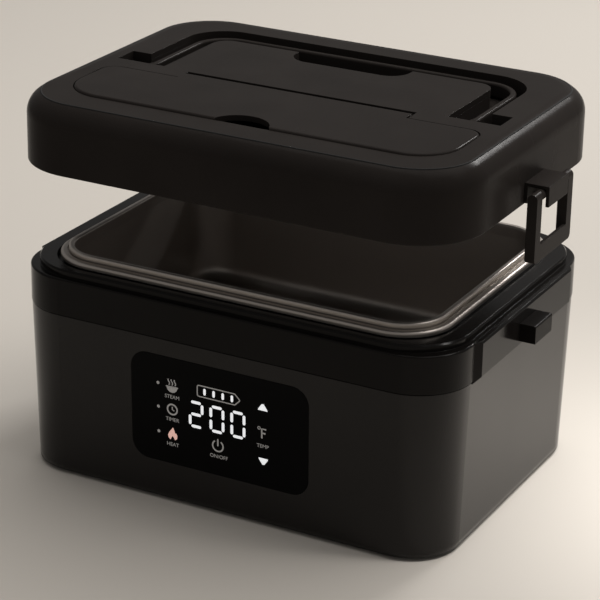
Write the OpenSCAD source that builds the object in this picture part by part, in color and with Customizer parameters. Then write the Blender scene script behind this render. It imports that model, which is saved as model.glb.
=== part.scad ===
// Portable electric lunch box: a battery-heated base with a lift-out steel
// tray, and a lift-off lid with a cutlery compartment, a folding carry
// handle and two loop latches. Millimetres, +Z up, origin on the ground
// under the middle of the base. The lid stands raised over the base.

/* [Base] */
// Width of the base shell at its parting line
base_w = 236; // [230:1:240]
// Depth of the base shell at its parting line
base_d = 173; // [168:1:176]
// Plan radius of the base's corners
base_r = 28; // [26:1:30]
// How far each base wall leans in from the parting line to the bottom
base_draft = 2.2; // [0.6:0.1:3.4]
// Height of the parting line between the shell and the top ring
split_z = 87; // [86:0.5:90]
// Thickness of the moulded walls of the base
base_wall = 2.6; // [2.2:0.1:3]
// Radius of the base's bottom edge
bottom_edge_r = 3; // [2:0.5:3]
// Height of the shell's lower edge above the ground
shell_lift = 1.6; // [1.2:0.1:2]
// Thickness of the bottom cover
cover_t = 2.6; // [2.4:0.1:3]
// Radius of each rubber foot
foot_r = 8; // [6:0.5:9]
// Height that the feet stand below the bottom cover
foot_h = 2; // [2:0.1:2.6]

/* [Top ring] */
// How far the ring's band stands proud of the shell
band_proud = 0.3; // [0.2:0.1:0.6]
// Width of the visible parting gap
parting_gap = 0.5; // [0.3:0.1:0.8]
// Height of the shoulder that the lid's wall stands on
shoulder_z = 106; // [105:0.5:108]
// Width of the shoulder
shoulder_w = 2.8; // [2.5:0.1:3]
// Height of the ridge above the shoulder
ridge_h = 3.6; // [3:0.1:4]
// Thickness of the ring's deck
deck_t = 2.5; // [2:0.25:3]
// How far the side pads stand proud of the shell
pad_proud = 3; // [2.4:0.2:3.4]
// Length of each side pad, front to back
pad_len = 114; // [100:2:116]
// Length of the slope at each end of a side pad
pad_slope = 4; // [2:0.5:8]
// Height of the side pads' lower edge
pad_z = 85.4; // [84:0.2:87]

/* [Food tray] */
// Distance of the tray's rim from each side of the base
tray_in_x = 12.7; // [12.5:0.1:14]
// Distance of the tray's rim from the front and back of the base
tray_in_y = 8.5; // [8.5:0.1:10]
// Plan radius of the tray's rim
tray_r = 26; // [24:1:27]
// Height of the top of the rim above the shoulder
tray_rise = 9; // [8:0.5:10]
// Width of the rim
rim_w = 7; // [6.8:0.1:7.2]
// Thickness of the tray's sheet
tray_sheet = 1; // [0.8:0.1:1.2]
// Height of the underside of the tray's floor
tray_floor_z = 53; // [52.6:0.2:56]
// How far the tray's walls lean in over their height
tray_draft = 2.5; // [1:0.5:4]
// Radius of the bend between the tray's walls and floor
tray_bend = 9; // [6:1:11]

/* [Heating] */
// Gap between the tray's wall and the heating well
well_gap = 1.4; // [1:0.1:1.6]
// Thickness of the well's sheet
well_sheet = 1.2; // [1:0.1:1.4]
// Gap between the tray's floor and the well's floor
seat_gap = 0.3; // [0.2:0.05:0.4]
// Distance of the heating plate's ends from the ends of the tray's rim
heater_in_x = 30.3; // [26:0.5:45]
// Distance of the heating plate's front and back from the tray's rim
heater_in_y = 26; // [24:0.5:34]
// Thickness of the heating plate
heater_t = 4; // [3:0.5:5]
// Plan radius of the heating plate's corners
heater_r = 14; // [8:1:20]
// Distance of the heating element from the plate's edge
element_in = 12; // [10:0.5:16]
// Radius of the heating element's tube
element_r = 3; // [2.5:0.25:3.5]
// Thickness of the insulation around the well
jacket_t = 3; // [2:0.25:3.2]

/* [Battery and boards] */
// Room kept at each end of the row of battery cells
cell_room = 28; // [24:1:34]
// Radius of a battery cell
cell_r = 9.2; // [8.5:0.1:9.4]
// Length of a battery cell
cell_len = 65; // [60:1:68]
// Distance from one cell to the next
cell_pitch = 19.8; // [19.4:0.1:20]
// Distance of the control board's ends from the sides of the base
board_in = 20; // [18:1:24]
// How much deeper the control board is than the cells are long
board_over = 3; // [1:0.5:6]
// Thickness of the circuit boards
board_t = 1.6; // [1.2:0.2:1.6]
// Height of the control board's underside
board_z = 28; // [27:0.5:29]

/* [Control panel] */
// Width of the glossy panel
panel_w = 97; // [90:1:104]
// Height of the glossy panel
panel_h = 56.6; // [50:0.2:60]
// Corner radius of the glossy panel
panel_r = 9; // [6:1:12]
// Thickness of the glossy panel
panel_t = 1.4; // [1.2:0.1:1.6]
// Height of the panel's middle
panel_z = 49.6; // [46:0.2:52]
// Width of the digit display behind the panel
digits_w = 42; // [36:1:48]
// Height of the digit display
digits_h = 22; // [18:1:26]
// Radius of the spring pads of the touch keys
key_r = 4; // [3:0.5:5]
// Height of the charging socket's middle
socket_z = 24; // [20:1:40]
// Distance of the charging socket from the middle of the back
socket_x = 62; // [40:1:80]

/* [Lid] */
// How far the lid stands out from each side of the base
lid_over_x = 2; // [1.6:0.1:2.6]
// How far the lid stands out from the front and back of the base
lid_over_y = 2.7; // [2.3:0.1:3.1]
// Plan radius of the lid's corners
lid_r = 35; // [33:1:36]
// How far the lid is raised above its closed place
lid_raise = 53.3; // [48:0.1:60]
// Height of the lid's wall and top edge
lid_h = 34.5; // [34.5:0.5:37]
// Radius of the lid's top edge
lid_edge_r = 11; // [9:0.5:12]
// Distance of the seam around the top plate from the lid's side
lid_seam_in = 7; // [6:0.5:8]
// Thickness of the lid's wall
lid_wall = 3.2; // [3:0.1:3.4]
// Thickness of the top plate
lid_plate_t = 3; // [2.6:0.2:3]
// Depth of the dome on the lid's underside
dome_h = 15; // [14.5:0.1:15]
// Thickness of the lid's liner
liner_t = 1.2; // [1:0.1:1.3]

/* [Cutlery compartment] */
// Distance of the cutlery cover's ends from the lid's sides
flap_in_x = 18; // [17.5:0.5:22]
// Distance of the cover's front edge from the lid's front
flap_in_y = 23.2; // [22:0.2:25]
// Length of the cover, front to back
flap_len = 47.5; // [46:0.5:48]
// Plan radius of the cover's front corners
flap_front_r = 22; // [16:1:24]
// Plan radius of the cover's back corners
flap_back_r = 8; // [6:1:12]
// Thickness of the cover
flap_t = 2.8; // [2.4:0.1:3]
// Distance of the hinge tab's ends from the cover's ends
tab_in = 40; // [32:0.5:52]
// Width of the slot behind the hinge tab
tab_slot = 4; // [3.6:0.1:4.4]
// How far the cover stands above the back of the top plate
flap_proud = 0.4; // [0.3:0.1:0.6]
// Radius of the finger notch
notch_r = 15; // [12:0.5:18]
// Depth of the finger notch into the cover
notch_depth = 11; // [8:0.5:12]

/* [Carry handle] */
// Distance of the handle's groove from the lid's sides
groove_in_x = 26.2; // [25.8:0.2:28]
// Distance of the handle's groove from the lid's back
groove_in_y = 22.7; // [22.2:0.5:25]
// Width of the groove
groove_w = 16.4; // [14:0.2:17]
// Depth of the groove
groove_depth = 10; // [9.8:0.1:10]
// Width of the finger hollow in front of the groove
hollow_w = 64; // [50:1:70]
// Reach of the finger hollow in front of the groove
hollow_len = 15; // [10:0.5:17]
// Gap between the handle and the groove's outer wall
strap_gap = 4.3; // [3:0.1:5]
// Thickness of the handle's strap seen from above
strap_t = 3.4; // [3:0.1:4]
// Height of the handle's strap
strap_h = 7.4; // [6.6:0.1:7.4]
// Distance of the handle's pivot behind the cutlery cover
pivot_behind = 19.2; // [18.4:0.2:20]
// Radius of the handle's pins
handle_pin_r = 1.5; // [1.2:0.1:1.7]

/* [Latches] */
// Width of each catch block, front to back
catch_w = 20; // [16:1:22]
// Height of each catch block
catch_h = 9; // [8:0.5:11]
// How far each catch block stands out from its side pad
catch_out = 8.2; // [7:0.1:8.4]
// Width of each latch loop
loop_w = 43.4; // [41:0.2:46]
// Thickness of each latch loop
loop_t = 5; // [4.6:0.2:5.4]
// Width of the loop's legs
leg_w = 6; // [5:0.5:7]
// Height of the loop's bottom bar
bar_h = 8.3; // [7:0.1:9]
// Distance from the latch pin to the loop's lower edge
loop_drop = 31.5; // [31:0.1:32]
// Distance of the latch pin from the lid's wall
pin_out = 8.5; // [8.4:0.1:9]
// Height of the latch pin above the lid's rim
pin_up = 6.9; // [6:0.1:7.4]
// Radius of the latch pins
latch_pin_r = 1.3; // [1.1:0.1:1.5]
// Width of each latch bracket
bracket_w = 23; // [20:1:25]

/* [Fits] */
// Radial clearance of a pin that turns
running_gap = 0.05; // [0.02:0.01:0.08]
// Clearance between pieces that are put together
fit_gap = 0.2; // [0.1:0.05:0.3]
// Clearance around pieces that swing or lift
moving_gap = 0.4; // [0.3:0.05:0.5]
// Gap between the closed lid and the shoulder it stands over
closed_gap = 0.3; // [0.2:0.05:0.5]

/* [Hidden] */
$fn = 64;

body_black = "#24211f";
lid_black = "#37322f";
steel = "#b9b6b1";
tiny = 0.01;                       // overlap that joins solids of one piece
pin_fn = 32;

// Heights in the base, from the ground up
cover_z = foot_h;
ledge_z = cover_z + cover_t;
ledge_t = 2.4;
edge_z = shell_lift;
wall_top = split_z - parting_gap;
tilt = atan(base_draft / (wall_top - edge_z));

// Plan sizes of the base
shell_x = base_w / 2;
shell_y = base_d / 2;
band_x = shell_x + band_proud;
band_y = shell_y + band_proud;
band_r = base_r + band_proud;
ledge_in = 9;                      // reach of the inner ledge from the wall's foot
sill_in = 5;                       // reach of the sill around the bottom cover
pad_x = shell_x + pad_proud;
ridge_x = band_x - shoulder_w;
ridge_y = band_y - shoulder_w;
ridge_r = lid_r - lid_wall - 1.8;  // follows the inside of the lid's corners

// Plan sizes of the tray and the well
tray_top_z = shoulder_z + tray_rise;
tray_w = base_w - 2 * tray_in_x;
tray_d = base_d - 2 * tray_in_y;
rim_x = tray_w / 2;
rim_y = tray_d / 2;
rim_seat_z = tray_top_z - 5.4;
well_x = rim_x - rim_w + tray_sheet + well_gap + well_sheet;
well_y = rim_y - rim_w + tray_sheet + well_gap + well_sheet;
well_r = tray_r - rim_w + tray_sheet + well_gap + well_sheet;
well_top_z = shoulder_z + 0.6;
well_floor_z = tray_floor_z - seat_gap - well_sheet;
heater_z = well_floor_z - heater_t;
heater_w = tray_w - 2 * heater_in_x;
heater_d = tray_d - 2 * heater_in_y;
element_y = heater_d / 2 - element_in;
element_tail = 8;                  // length of the element's turned-down ends
element_end_r = 2.4;
opening_gap = 1.8;                 // gap between the tray's rim and the ring
open_x = rim_x + opening_gap;
open_y = rim_y + opening_gap;
open_r = tray_r + opening_gap;
ridge_z = shoulder_z + ridge_h;

// Battery cells and board
cell_count = floor((base_w - 2 * cell_room) / cell_pitch);
board_w = base_w - 2 * board_in;
board_d = cell_len + board_over;
coil_r = 7;
coil_h = 8;
key_spring_h = 7;
fins = 7;
fin_t = 1.6;
fin_pitch = 6;
fin_len = 26;
fin_h = 8;
chip_w = 22;
chip_h = 1.4;
plug_size = [14, 20, 6];

// Sizes and levels of the lid, measured from the ground
lid_w = base_w + 2 * lid_over_x;
lid_d = base_d + 2 * lid_over_y;
lid_z = shoulder_z + closed_gap + lid_raise;
plate_top = lid_z + lid_h;
plate_under = plate_top - lid_plate_t;
plate_x = lid_w / 2 - lid_seam_in - fit_gap;
plate_y = lid_d / 2 - lid_seam_in - fit_gap;
plate_r = lid_r - lid_seam_in - fit_gap;
edge_drop = lid_edge_r - sqrt(lid_edge_r * lid_edge_r - pow(lid_edge_r - lid_seam_in, 2));
flange_z = lid_z + ridge_h + 3;
flange_t = 1.8;
seal_w = 3.4;
seal_in = 5;
seal_z = lid_z + ridge_h;          // just above the ridge when the lid is closed
dome_in = 10.4;                    // inset of the dome's inner wall from the lid's side
dome_z = lid_z + dome_h;
liner_top = dome_z + liner_t;

// Cutlery compartment
flap_w = lid_w - 2 * flap_in_x;
flap_front = lid_d / 2 - flap_in_y;
flap_back = flap_front - flap_len;
tab_half = flap_w / 2 - tab_in;
fall_start = flap_back + 10;       // where the top begins to fall towards the front
flap_top = plate_top + flap_proud;
flap_under = flap_top - flap_t;
shelf_in = 2.5;
shelf_z = plate_top - 5.9;
shelf_t = 1.5;
hinge_y = 3.5 - flap_back;
hinge_z = plate_top - 1.6;
hinge_pin_r = 1;
knuckle_r = 1.9;
tab_y = hinge_y + 2.4;
slot_y = tab_y + tab_slot;
cutlery_floor = liner_top + 0.8;
cutlery_sheet = 1.2;
flap_edge_r = 1.5;

// Carry handle
groove_half = lid_w / 2 - groove_in_x;
groove_back = lid_d / 2 - groove_in_y;
groove_floor = plate_top - groove_depth;
tub_t = 1.8;
pivot_y = pivot_behind - flap_back;
pivot_z = groove_floor + 4.3;
strap_half = groove_half - strap_gap;
strap_back = groove_back - strap_gap;
groove_front = pivot_y - 7.2;
groove_outer_r = 22;
groove_inner_r = 9;
pocket_end = pivot_y + 7.3;
pocket_x = groove_half + 10.5;
boss_r = 2.7;
hollow_r = 11;
hollow_floor = groove_floor + 2.6;

// Latches
pin_x = lid_w / 2 + pin_out;
pin_z = lid_z + pin_up;
ear_r = loop_t / 2;
nose_x = pad_x + catch_out;
bar_x = nose_x + fit_gap;          // inner face of the loop's bar: it hangs past the catch
bracket_low = lid_z + 1;
bracket_top = lid_z + 11;
bracket_t = 1.6;
pin_half = loop_w / 2 - 1.8;       // half the length of the latch pins
catch_z = pin_z - lid_raise - loop_drop + bar_h + moving_gap;

// Screws: the bottom ones stand on the diagonals of the corners
screw_reach = (base_r - base_draft - ledge_in + 0.8) / sqrt(2);
screw_x = shell_x - base_r + screw_reach;
screw_y = shell_y - base_r + screw_reach;
screw_r = 1.4;
screw_head_r = 2.6;
screw_head_h = 1.6;
screw_slot = [3, 0.7, 1.4];
screw_len = 9;                     // length of a bottom screw below its head
lid_screw_len = 10;
screw_boss_r = 3.6;
lid_boss_r = 3.2;
boss_h = 14;
lid_screw_x = 60;
lid_screw_y = plate_y - 8;

// ---------------------------------------------------------------- shapes

// Rectangle with round corners, centred
module round_rect(w, d, r) {
    square([w - 2 * r, d], center = true);
    square([w, d - 2 * r], center = true);
    for (x = [-1, 1], y = [-1, 1])
        translate([x * (w / 2 - r), y * (d / 2 - r)]) circle(r);
}

// Upright slab with a round_rect outline between two heights
module slab(w, d, r, z0, z1) {
    translate([0, 0, z0]) linear_extrude(z1 - z0) round_rect(w, d, r);
}

// Carries a profile round a rounded rectangle. The profile's x runs out
// from the outer wall, so what is inside the wall has a negative x.
module ring(half_x, half_y, r) {
    for (turn = [0:3]) {
        out = turn % 2 == 0 ? half_x : half_y;
        across = turn % 2 == 0 ? half_y : half_x;
        rotate([0, 0, 90 * turn]) {
            translate([out - r, across - r, 0])
                rotate_extrude(angle = 90) translate([r, 0]) children();
            translate([out, 0, 0]) rotate([90, 0, 0])
                linear_extrude(2 * (across - r), center = true) children();
        }
    }
}

// Cuts the convex corner at the origin to a radius: the solid lies to -x and -y
module corner_cut(r) {
    difference() {
        translate([-r, -r]) square(r + tiny);
        translate([-r, -r]) circle(r);
    }
}

// Puts copies at the four mirrored places of a point
module at_four(x, y) {
    for (sx = [-1, 1], sy = [-1, 1]) translate([sx * x, sy * y, 0]) children();
}

// Mirrors a right-hand piece to the left
module left() { mirror([1, 0, 0]) children(); }

// Rod along X between two places
module rod_x(x0, x1, y, z, r, fn = pin_fn) {
    translate([x0, y, z]) rotate([0, 90, 0]) cylinder(h = x1 - x0, r = r, $fn = fn);
}

// Rod along Y between two places
module rod_y(y0, y1, x, z, r, fn = pin_fn) {
    translate([x, y0, z]) rotate([-90, 0, 0]) cylinder(h = y1 - y0, r = r, $fn = fn);
}

// Distance of the leaning wall from its place at the parting line
function lean(z) = base_draft * (wall_top - z) / (wall_top - edge_z);

// Frame on the front wall: x right, y up the wall, z out of it
module on_front() {
    translate([0, -(shell_y - lean(panel_z)), panel_z]) rotate([90 + tilt, 0, 0]) children();
}

// Frame on the back wall at the socket, with z out of the wall
module on_back() {
    translate([socket_x, shell_y - lean(socket_z), socket_z])
        rotate([-90 - tilt, 0, 0]) children();
}

// ---------------------------------------------------------------- base

// Section of the shell's wall with its bottom edge, sill and inner ledge
module shell_profile() {
    foot_x = -base_draft;
    tongue_z = split_z + 1;
    difference() {
        polygon([[0, wall_top], [foot_x, edge_z], [foot_x - sill_in, edge_z],
            [foot_x - sill_in, ledge_z], [foot_x - ledge_in, ledge_z],
            [foot_x - ledge_in, ledge_z + ledge_t], [foot_x - base_wall, ledge_z + ledge_t],
            [-base_wall, wall_top], [-base_wall, tongue_z], [-base_wall / 2, tongue_z],
            [-base_wall / 2, wall_top]]);
        translate([foot_x, edge_z]) mirror([0, 1]) corner_cut(bottom_edge_r);
    }
}

// Shell of the base, open below, with the panel's pocket and the socket's hole
module outer_shell() color(body_black) difference() {
    union() {
        ring(shell_x, shell_y, base_r) shell_profile();
        at_four(screw_x, screw_y)
            translate([0, 0, ledge_z]) cylinder(h = boss_h, r = screw_boss_r, $fn = pin_fn);
    }
    at_four(screw_x, screw_y) translate([0, 0, ledge_z - 1])
        cylinder(h = boss_h, r = screw_r + running_gap, $fn = pin_fn);
    on_front() {
        translate([0, 0, -panel_t])
            linear_extrude(panel_t + 4)
                round_rect(panel_w + 2 * fit_gap, panel_h + 2 * fit_gap, panel_r + fit_gap);
        translate([0, 0, -base_wall - 2])
            linear_extrude(base_wall + 4) round_rect(panel_w - 12, panel_h - 12, panel_r / 2);
    }
    on_back() translate([0, 0, -base_wall - 1])
        cylinder(h = base_wall + 4, r = socket_r + fit_gap, $fn = pin_fn);
}

// Section of the ring's band and shoulder, which stands on the shell's tongue
module band_profile() {
    inner = -base_wall - band_proud;
    low = shoulder_z - deck_t;
    tongue_z = split_z + 1;
    difference() {
        polygon([[0, split_z], [0, shoulder_z], [-shoulder_w - 4, shoulder_z],
            [-shoulder_w - 4, low], [inner, low - 3], [inner, tongue_z],
            [-base_wall / 2 - band_proud, tongue_z], [-base_wall / 2 - band_proud, split_z]]);
        translate([0, shoulder_z]) corner_cut(1);
    }
}

// Section of the ridge's wall, from the shoulder's underside to the deck
module ridge_profile() {
    bevel = 0.8;
    polygon([[0, shoulder_z - deck_t], [0, ridge_z - bevel], [-bevel, ridge_z],
        [-base_wall, ridge_z], [-base_wall, shoulder_z - deck_t]]);
}

// Section of the pads on the sides: the lower edge is chamfered
module pad_profile() {
    inner = shell_x + fit_gap / 2;
    polygon([[inner, pad_z], [pad_x, pad_z + pad_proud], [pad_x, shoulder_z - 1],
        [pad_x - 1, shoulder_z], [band_x - 1.2, shoulder_z], [band_x - 1.2, split_z],
        [inner, split_z]]);
}

// Raised pad on the right side, sloped at both ends
module side_pad() intersection() {
    rotate([90, 0, 0]) linear_extrude(pad_len, center = true) pad_profile();
    translate([0, 0, pad_z - 1]) linear_extrude(shoulder_z) polygon([
        [0, -pad_len / 2], [band_x, -pad_len / 2], [pad_x + tiny, pad_slope - pad_len / 2],
        [pad_x + tiny, pad_len / 2 - pad_slope], [band_x, pad_len / 2], [0, pad_len / 2]]);
}

// Ring on top of the shell: shoulder, ridge, deck, seat of the well and side pads
module top_ring() color(body_black) difference() {
    union() {
        ring(band_x, band_y, band_r) band_profile();
        ring(ridge_x, ridge_y, ridge_r) ridge_profile();
        slab(2 * (ridge_x - 1), 2 * (ridge_y - 1), ridge_r - 1, ridge_z - deck_t, ridge_z);
        slab(2 * (open_x + 2), 2 * (open_y + 2), open_r + 2, well_seat_z - 2, ridge_z - 1);
        for (side = [0, 1]) mirror([side, 0, 0]) side_pad();
    }
    slab(2 * open_x, 2 * open_y, open_r, well_seat_z, ridge_z + 1);
    slab(2 * (well_x + fit_gap), 2 * (well_y + fit_gap), well_r + fit_gap,
        well_seat_z - 3, well_seat_z + 1);
    for (side = [-1, 1]) translate([side * (pad_x - tenon_len / 2), 0, catch_z + catch_h / 2])
        cube([tenon_len + 4, catch_w - tenon_in + 2 * fit_gap, catch_h - tenon_in / 2 + 2 * fit_gap],
            center = true);
}
well_seat_z = well_top_z - well_sheet;
tenon_len = 8;
tenon_in = 8;                      // how much narrower the catch's tenon is than the catch

// Block on the side pad that the latch loop hooks under, with its tenon
module catch_block() {
    difference() {
        translate([pad_x, -catch_w / 2, catch_z]) cube([catch_out, catch_w, catch_h]);
        translate([nose_x, 0, catch_z + catch_h]) rotate([90, 0, 0])
            linear_extrude(catch_w + 2, center = true) corner_cut(1);
    }
    translate([pad_x - tenon_len, (tenon_in - catch_w) / 2, catch_z + tenon_in / 4])
        cube([tenon_len + tiny, catch_w - tenon_in, catch_h - tenon_in / 2]);
}
module catch_right() color(body_black) catch_block();
module catch_left() color(body_black) left() catch_block();

// Cover of the base's underside, recessed inside the sill
module bottom_cover() color(body_black) difference() {
    inset = base_draft + sill_in + fit_gap;
    slab(base_w - 2 * inset, base_d - 2 * inset, base_r - inset, cover_z, ledge_z);
    at_four(screw_x, screw_y) {
        translate([0, 0, cover_z - 1]) cylinder(h = screw_head_h + 1.2, r = screw_head_r + fit_gap);
        cylinder(h = ledge_z + 1, r = screw_r + fit_gap, $fn = pin_fn);
    }
    at_four(shell_x - base_r, shell_y - base_r)
        translate([0, 0, cover_z - 1]) cylinder(h = 2.6, r = 2.5 + running_gap, $fn = pin_fn);
}

// Four screws of the bottom cover
module bottom_screws() color(steel) at_four(screw_x, screw_y)
    translate([0, 0, cover_z + 0.2]) {
        difference() {
            cylinder(h = screw_head_h, r = screw_head_r, $fn = pin_fn);
            for (turn = [0, 90]) rotate([0, 0, turn]) cube(screw_slot, center = true);
        }
        cylinder(h = screw_head_h + screw_len, r = screw_r, $fn = pin_fn);
    }

// Four rubber feet with their plugs
module rubber_feet() color("#161616") at_four(shell_x - base_r, shell_y - base_r) {
    difference() {
        cylinder(h = foot_h, r = foot_r);
        rotate_extrude() translate([foot_r, 0]) mirror([0, 1]) corner_cut(0.8);
    }
    cylinder(h = foot_h + 1.4, r = 2.5, $fn = pin_fn);
}

// Section of the steel tray: stepped rim with round edges, wall and bend
module tray_profile() {
    upper_r = 1.1;
    lower_r = 1.4;
    groove = 0.8;                      // groove at the foot of the upper step
    step_x = -4;
    step_z = tray_top_z - 2.7;
    wall_x = -rim_w + tray_sheet;
    foot_x = wall_x - tray_draft;
    bend_z = tray_floor_z + tray_bend;
    difference() {
        polygon([[0, rim_seat_z], [0, step_z], [step_x + groove, step_z],
            [step_x + groove, step_z - groove], [step_x, step_z - groove], [step_x, tray_top_z],
            [-rim_w, tray_top_z], [-rim_w, rim_seat_z - 1], [foot_x - tray_sheet, bend_z],
            [foot_x, bend_z], [wall_x, rim_seat_z]]);
        translate([0, step_z]) corner_cut(lower_r);
        translate([step_x, tray_top_z]) corner_cut(upper_r);
        translate([-rim_w, tray_top_z]) mirror([1, 0]) corner_cut(upper_r);
    }
    translate([foot_x - tray_bend, bend_z]) difference() {
        intersection() {
            circle(tray_bend);
            translate([0, -tray_bend]) square(tray_bend);
        }
        circle(tray_bend - tray_sheet);
    }
}

// Lift-out food tray of pressed steel
module food_tray() color(steel) {
    floor_in = rim_w - tray_sheet + tray_draft + tray_bend;
    ring(rim_x, rim_y, tray_r) tray_profile();
    slab(2 * (rim_x - floor_in) + tiny, 2 * (rim_y - floor_in) + tiny, tray_r - floor_in,
        tray_floor_z, tray_floor_z + tray_sheet);
}

// Section of the heating well: flange, rib under the tray's rim, wall and bend
module well_profile() {
    bend = tray_bend + well_gap + well_sheet;
    bend_z = well_floor_z + bend;
    rib_x = 1.2;
    flange = open_x - well_x - fit_gap;
    polygon([[flange, well_seat_z], [flange, well_top_z], [rib_x + well_sheet, well_top_z],
        [rib_x + well_sheet, rim_seat_z - seat_gap], [rib_x, rim_seat_z - seat_gap],
        [rib_x, well_top_z], [-well_sheet, well_top_z], [-well_sheet - tray_draft, bend_z],
        [-tray_draft, bend_z], [0, well_seat_z]]);
    translate([-tray_draft - bend, bend_z]) difference() {
        intersection() {
            circle(bend);
            translate([0, -bend]) square(bend);
        }
        circle(bend - well_sheet);
    }
}

// Fixed well of sheet metal that the tray drops into
module heating_well() color(steel) {
    floor_in = tray_draft + tray_bend + well_gap + well_sheet;
    ring(well_x, well_y, well_r) well_profile();
    slab(2 * (well_x - floor_in) + tiny, 2 * (well_y - floor_in) + tiny, well_r - floor_in,
        well_floor_z, well_floor_z + well_sheet);
}

// Plate that spreads the heat under the well
module heating_plate() color("#9a9a98")
    slab(heater_w, heater_d, heater_r, heater_z, well_floor_z);

// Tubular heating element with its two ends turned down
module heating_element() color("#6f6a66") {
    bend = element_y / 2;
    ring(heater_w / 2 - element_in, element_y, bend)
        translate([0, heater_z - element_r]) circle(element_r, $fn = pin_fn);
    for (side = [-1, 1])
        translate([side * heater_r, -element_y, heater_z - element_r - element_tail])
            cylinder(h = element_tail, r = element_end_r, $fn = pin_fn);
}

// Insulating jacket around the well
module insulation_jacket() color("#d8cfa8") {
    top = well_seat_z - 4;
    low = well_floor_z + tray_bend + 6;
    slope = tray_draft / (well_seat_z - well_floor_z - tray_bend);
    off = fit_gap + 0.1;
    ring(well_x, well_y, well_r) polygon([
        [off - slope * 3, top], [off + jacket_t, top],
        [off + jacket_t - slope * (top - low), low], [off - slope * (top - low), low]]);
}

// Sprung temperature sensor under the middle of the plate
module temperature_sensor() color("#c9c9c9") {
    translate([0, 0, heater_z - 2]) cylinder(h = 2, r = 8);
    translate([0, 0, heater_z - 6.5]) cylinder(h = 4.5 + tiny, r = 5);
}

// Thermal fuse clipped under the plate
module thermal_fuse() color("#b58a3c") {
    rod_x(24, 38, 0, heater_z - 2.4, 2);
    rod_x(19, 43, 0, heater_z - 2.4, 0.6);
    for (x = [27, 33]) translate([x, -2.6, heater_z - 5]) difference() {
        cube([2, 5.2, 5]);
        rod_x(-1, 3, 2.6, 2.6, 2);
    }
}

// Row of round battery cells with their welded strips
cell_z = ledge_z + 1.8 + cell_r;
module battery_cells() color("#3f7f9f") {
    for (i = [0:cell_count - 1]) {
        x = (i - (cell_count - 1) / 2) * cell_pitch;
        rod_y(-cell_len / 2, cell_len / 2, x, cell_z, cell_r, $fn);
    }
    for (end = [-1, 1], i = [0:3:cell_count - 1]) {
        x = (i - (cell_count - 1) / 2) * cell_pitch;
        span = min(2, cell_count - 1 - i) * cell_pitch;
        translate([x - 4, end * (cell_len / 2 + 0.2) - 0.2, cell_z - 3]) cube([span + 8, 0.4, 6]);
    }
}

// Holder that cradles the cells and carries the control board on four posts
module battery_holder() color("#2d4a2f") difference() {
    holder_w = cell_count * cell_pitch + 10;
    union() {
        translate([-board_w / 2, -board_d / 2, ledge_z])
            cube([board_w, board_d, 1.6]);
        for (y = [-22, 22]) translate([-holder_w / 2, y - 4, ledge_z])
            cube([holder_w, 8, cell_r + 1]);
        at_four(board_w / 2 - 4, board_d / 2 - 4)
            translate([0, 0, ledge_z]) cylinder(h = board_z - ledge_z, r = 3.4, $fn = pin_fn);
    }
    for (i = [0:cell_count - 1])
        rod_y(-cell_len, cell_len, (i - (cell_count - 1) / 2) * cell_pitch, cell_z,
            cell_r + fit_gap / 2, $fn);
}

// Power and charging board with its larger parts
module control_board() color("#1f5d3a") {
    top = board_z + board_t;
    translate([-board_w / 2, -board_d / 2, board_z])
        cube([board_w, board_d, board_t]);
    for (i = [0, 1]) translate([-board_w / 4 - 2.6 * coil_r * i, chip_w / 2, top])
        cylinder(h = coil_h, r = coil_r);
    for (i = [-2:2]) translate([2.8 * key_r * i, -board_d / 3, top])
        cylinder(h = key_spring_h, r = key_r, $fn = pin_fn);
    translate([board_w / 6, 0, top]) {
        cube([fins * fin_pitch, fin_len, fin_t]);
        for (i = [0:fins - 1])
            translate([fin_pitch * i + fin_t, 0, 0]) cube([fin_t, fin_len, fin_h]);
    }
    translate([-chip_w / 2, chip_w / 3, top]) cube([chip_w, chip_w, chip_h]);
    translate([-board_w / 2 + plug_size.x, -board_d / 2 + fin_pitch, top]) cube(plug_size);
}

// Board behind the control panel
display_pocket = 3.6;
module display_board() color("#1f5d3a") on_front()
    translate([0, 0, -base_wall - display_pocket])
        linear_extrude(1.2) round_rect(panel_w - 4, panel_h - 4, 4);

// Seven-segment display block and key pads between the board and the panel
module led_display() color("#3a3a3a") on_front() {
    depth = base_wall + display_pocket - 1.2 - panel_t - fit_gap;
    translate([0, 0, -panel_t - fit_gap - depth]) {
        linear_extrude(depth) round_rect(digits_w, digits_h, 2);
        for (x = [-1, 1], y = [-1:1]) translate([x * (digits_w / 2 + 2.2 * key_r), 3.7 * key_r * y])
            cylinder(h = depth, r = key_r);
    }
}

// Glossy touch panel, flush in the front wall
module control_panel() color("#050505") on_front()
    translate([0, 0, -panel_t]) linear_extrude(panel_t) round_rect(panel_w, panel_h, panel_r);

// Charging socket in the back wall
socket_r = 5.5;
module charging_socket() color("#101010") on_back() difference() {
    union() {
        cylinder(h = 1.2, r = socket_r + 2);
        translate([0, 0, -13]) cylinder(h = 13 + tiny, r = socket_r);
    }
    translate([0, 0, -9]) difference() {
        cylinder(h = 11, r = 3.1, $fn = pin_fn);
        cylinder(h = 8, r = 1.2, $fn = pin_fn);
    }
}

// ---------------------------------------------------------------- lid

// Section of the lid's wall, round top edge and the rebate for the top plate
module lid_profile() {
    lip = -lid_seam_in;
    shelf = lip - 4;
    difference() {
        polygon([[0, 0], [0, lid_h], [lip, lid_h], [lip, lid_h - lid_plate_t],
            [shelf, lid_h - lid_plate_t], [shelf, lid_h - lid_plate_t - 2],
            [-lid_wall - 2, lid_h - lid_plate_t - 2], [-lid_wall, lid_h - lid_plate_t - 5],
            [-lid_wall, 0]]);
        translate([0, lid_h]) corner_cut(lid_edge_r);
        mirror([0, 1]) corner_cut(0.8);
    }
}

// Outer wall of the lid
module lid_shell() color(lid_black)
    translate([0, 0, lid_z]) ring(lid_w / 2, lid_d / 2, lid_r) lid_profile();

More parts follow.
